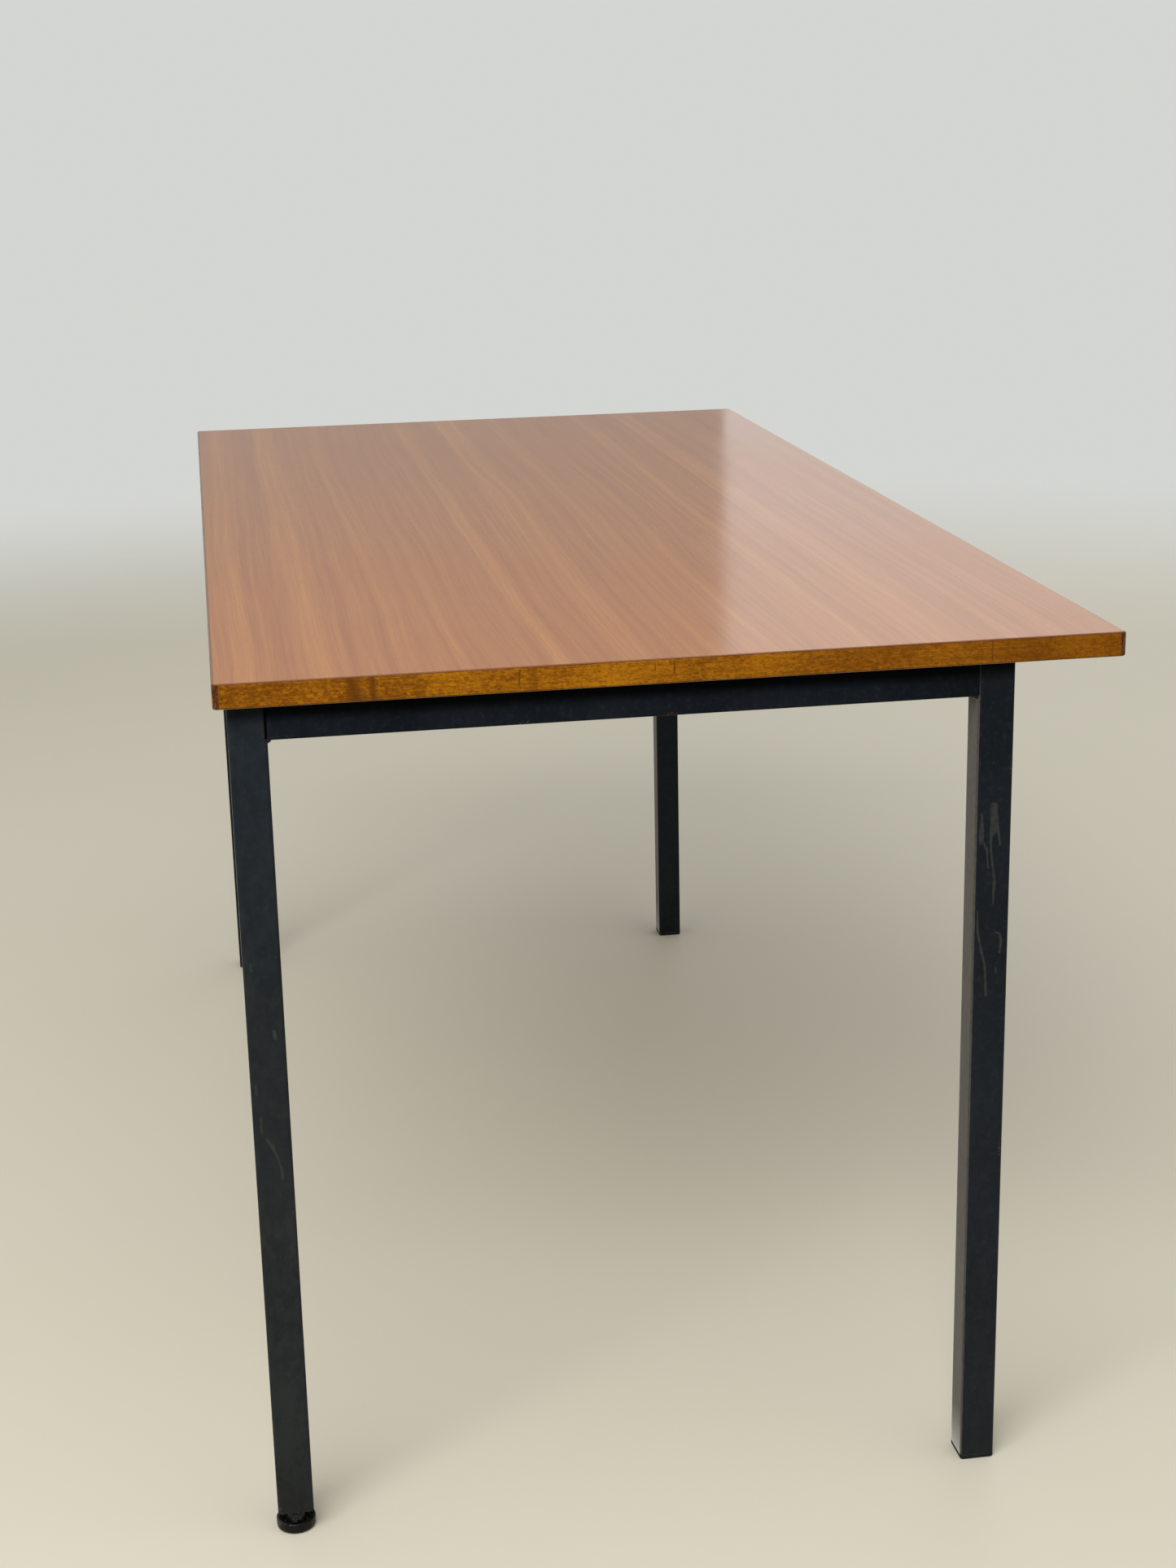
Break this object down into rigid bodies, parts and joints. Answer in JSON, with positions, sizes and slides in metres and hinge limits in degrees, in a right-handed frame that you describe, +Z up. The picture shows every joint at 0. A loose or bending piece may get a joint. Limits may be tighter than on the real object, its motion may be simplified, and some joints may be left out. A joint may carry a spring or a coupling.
{
  "type": "teacher desk",
  "caption": "Rectangular teacher's desk: veneered, wood-lipped top on a welded square-tube steel frame, with push-in foot plugs and a screw glide that levels the desk.",
  "frame": {"origin": "on the floor under the middle of the board", "axes": "+Z up, X along the desk's length, -Y towards the sitter's side, where the board overhangs the frame by 86 mm"},
  "size_m": [1.45, 0.72, 0.74],
  "materials": {
    "teak_veneer": "teak veneer, grain along X, semi-gloss lacquer",
    "backing_veneer": "plain backing veneer, unpolished",
    "chipboard": "raw particle board",
    "lipping_wood": "beech stained golden brown, lacquered, worn",
    "black_enamel": "blue-black enamel on steel, semi-gloss, chipped",
    "zinc_plate": "zinc plated, dull",
    "bare_steel": "mild steel, ground flush and lightly rusted",
    "plug_plastic": "moulded black polyethylene",
    "glide_plastic": "moulded black nylon, glossy"
  },
  "bodies": {
    "desk": {"top_core": "chipboard", "top_face_veneer": "teak_veneer", "top_backing_veneer": "backing_veneer", "lipping_front": "lipping_wood", "lipping_rear": "lipping_wood", "lipping_left": "lipping_wood", "lipping_right": "lipping_wood", "leg_front_left": "black_enamel", "leg_front_right": "black_enamel", "leg_rear_left": "black_enamel", "leg_rear_right": "black_enamel", "rail_front": "black_enamel", "rail_rear": "black_enamel", "rail_left": "black_enamel", "rail_right": "black_enamel", "weld_beads": "black_enamel", "lug_front_1": "black_enamel", "lug_front_2": "black_enamel", "lug_front_3": "black_enamel", "lug_rear_1": "black_enamel", "lug_rear_2": "black_enamel", "lug_rear_3": "black_enamel", "lug_left": "black_enamel", "lug_right": "black_enamel", "lug_screws": "zinc_plate", "lug_washers": "zinc_plate", "foot_plug_front_left": "plug_plastic", "foot_plug_front_right": "plug_plastic", "foot_plug_rear_right": "plug_plastic", "glide_plate": "bare_steel", "glide_nut": "zinc_plate"},
    "glide": {"glide_pad": "glide_plastic"},
    "stem": {"glide_stem": "zinc_plate"}
  },
  "joints": [
    {"name": "glide_lift", "type": "slide", "parent": "desk", "child": "glide", "axis": [0, 0, 1], "range_m": [-0.01, 0.0075]},
    {"name": "stem_spin", "type": "hinge", "parent": "glide", "child": "stem", "pos_m": [-0.695, 0.335, 0], "axis": [0, 0, 1], "range_deg": [-2880, 2160]}
  ],
  "couplings": [
    {"joint": "stem_spin", "follows": "glide_lift", "rad_per_m": 5026.5}
  ]
}
